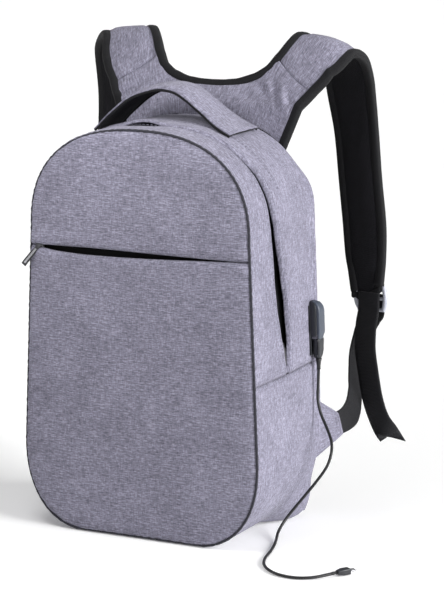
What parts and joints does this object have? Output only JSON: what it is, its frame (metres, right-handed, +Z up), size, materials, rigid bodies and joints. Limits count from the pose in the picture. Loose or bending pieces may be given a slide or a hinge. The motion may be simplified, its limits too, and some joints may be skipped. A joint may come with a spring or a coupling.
{
  "type": "backpack",
  "caption": "Fabric backpack with a hidden arched main zip, a front zip pocket, a side charging port with its cord, a grab handle and a yoke harness.",
  "frame": {"origin": "middle of the flat base, on the surface that the bag stands on", "axes": "+Z up, the front with its zip pocket faces -Y, +X to the right of a viewer in front, on the charging port's side"},
  "size_m": [0.4873, 0.3536, 0.5269],
  "materials": {
    "heather_fabric": "heathered grey plain-weave polyester with a faint lavender cast",
    "lining_fabric": "dark grey plain lining",
    "black_mesh": "black spacer mesh over foam",
    "black_webbing": "black woven webbing, 25 mm wide",
    "zip_tape": "black coil zip tape",
    "dark_zinc": "black painted zinc casting",
    "bright_zinc": "polished inlay",
    "grey_plastic": "light grey moulded acetal",
    "black_plastic": "satin black moulded plastic",
    "cable_rubber": "black smooth cable jacket",
    "plug_steel": "nickel-plated plug shell",
    "board": "black stiffening board"
  },
  "bodies": {
    "bag": {"base_gusset": "heather_fabric", "rear_gusset": "heather_fabric", "back_panel": "black_mesh", "front_panel_lower": "heather_fabric", "base_piping": "lining_fabric", "bottom_board": "board", "laptop_sleeve": "lining_fabric", "pocket_wall_lower": "lining_fabric", "power_bank_pocket": "lining_fabric", "rear_zip_tape": "zip_tape", "usb_housing": "black_plastic", "usb_socket": "plug_steel", "port_neck": "black_plastic", "port_clamp": "black_plastic", "inner_lead": "cable_rubber", "inner_lead_plug": "black_plastic", "back_pad_left": "black_mesh", "back_pad_right": "black_mesh", "lumbar_pad": "heather_fabric", "yoke_base": "heather_fabric", "handle_foot_left": "black_webbing", "handle_foot_right": "black_webbing", "wing_left": "heather_fabric", "wing_right": "heather_fabric", "lower_webbing_left": "black_webbing", "lower_webbing_right": "black_webbing", "charging_cord": "cable_rubber", "phone_plug": "black_plastic", "phone_plug_tip": "plug_steel"},
    "front_flap": {"flap_gusset": "heather_fabric", "flap_panel_lower": "heather_fabric", "flap_panel_upper": "heather_fabric", "flap_piping": "lining_fabric", "front_zip_tape": "zip_tape", "pocket_tape_lower": "zip_tape", "pocket_tape_upper": "zip_tape", "pocket_wall_upper": "lining_fabric"},
    "pocket_slider": {"pocket_slider": "dark_zinc"},
    "pocket_puller": {"pocket_puller": "dark_zinc", "puller_inlay": "bright_zinc"},
    "main_slider_left": {"main_slider_left": "dark_zinc"},
    "main_slider_right": {"main_slider_right": "dark_zinc"},
    "main_puller_left": {"main_puller_left": "dark_zinc"},
    "main_puller_right": {"main_puller_right": "dark_zinc"},
    "grab_handle": {"handle_cover": "heather_fabric", "handle_lining": "black_webbing"},
    "harness": {"yoke_cover": "heather_fabric", "yoke_lining": "black_mesh", "strap_cover_left": "heather_fabric", "strap_cover_right": "heather_fabric", "strap_lining_left": "black_mesh", "strap_lining_right": "black_mesh"},
    "ladder_lock_left": {"ladder_lock_left": "grey_plastic", "webbing_tail_left": "black_webbing"},
    "ladder_lock_right": {"ladder_lock_right": "grey_plastic", "webbing_tail_right": "black_webbing"},
    "usb_plug": {"usb_plug_body": "black_plastic", "usb_plug_shell": "plug_steel"}
  },
  "joints": [
    {"name": "flap_hinge", "type": "hinge", "parent": "bag", "child": "front_flap", "pos_m": [0, -0.0775, 0.182], "axis": [1, 0, 0], "range_deg": [0, 40]},
    {"name": "pocket_zip_slide", "type": "slide", "parent": "front_flap", "child": "pocket_slider", "axis": [1, 0, 0], "range_m": [0, 0.232]},
    {"name": "pocket_puller_swing", "type": "hinge", "parent": "pocket_slider", "child": "pocket_puller", "pos_m": [-0.118, -0.0791, 0.31], "axis": [0, 1, 0], "range_deg": [-75, 35]},
    {"name": "main_zip_left_slide", "type": "slide", "parent": "bag", "child": "main_slider_left", "axis": [0.042, -0.1559, 0.9869], "range_m": [0, 0.1]},
    {"name": "main_zip_right_slide", "type": "slide", "parent": "bag", "child": "main_slider_right", "axis": [-0.042, -0.1559, 0.9869], "range_m": [0, 0.1]},
    {"name": "main_puller_left_swing", "type": "hinge", "parent": "main_slider_left", "child": "main_puller_left", "pos_m": [-0.13434, -0.00095, 0.20696], "axis": [0.0066, 0.9877, 0.1564], "range_deg": [0, 150]},
    {"name": "main_puller_right_swing", "type": "hinge", "parent": "main_slider_right", "child": "main_puller_right", "pos_m": [0.13434, -0.00095, 0.20696], "axis": [0.0066, -0.9877, -0.1564], "range_deg": [0, 150]},
    {"name": "handle_tilt", "type": "hinge", "parent": "bag", "child": "grab_handle", "pos_m": [0, 0.022, 0.4345], "axis": [1, 0, 0], "range_deg": [-8, 8]},
    {"name": "harness_tilt", "type": "hinge", "parent": "bag", "child": "harness", "pos_m": [0, 0.0812, 0.446], "axis": [1, 0, 0], "range_deg": [-5, 10], "deforming": ["lower_webbing_left", "lower_webbing_right"]},
    {"name": "lock_left_tilt", "type": "hinge", "parent": "harness", "child": "ladder_lock_left", "pos_m": [-0.194, 0.2, 0.24], "axis": [1, 0, 0], "range_deg": [-5, 12]},
    {"name": "lock_right_tilt", "type": "hinge", "parent": "harness", "child": "ladder_lock_right", "pos_m": [0.149, 0.2, 0.24], "axis": [1, 0, 0], "range_deg": [-5, 12]},
    {"name": "usb_plug_pull", "type": "slide", "parent": "bag", "child": "usb_plug", "axis": [0, 0, -1], "range_m": [0, 0.012], "deforming": ["charging_cord"]}
  ]
}
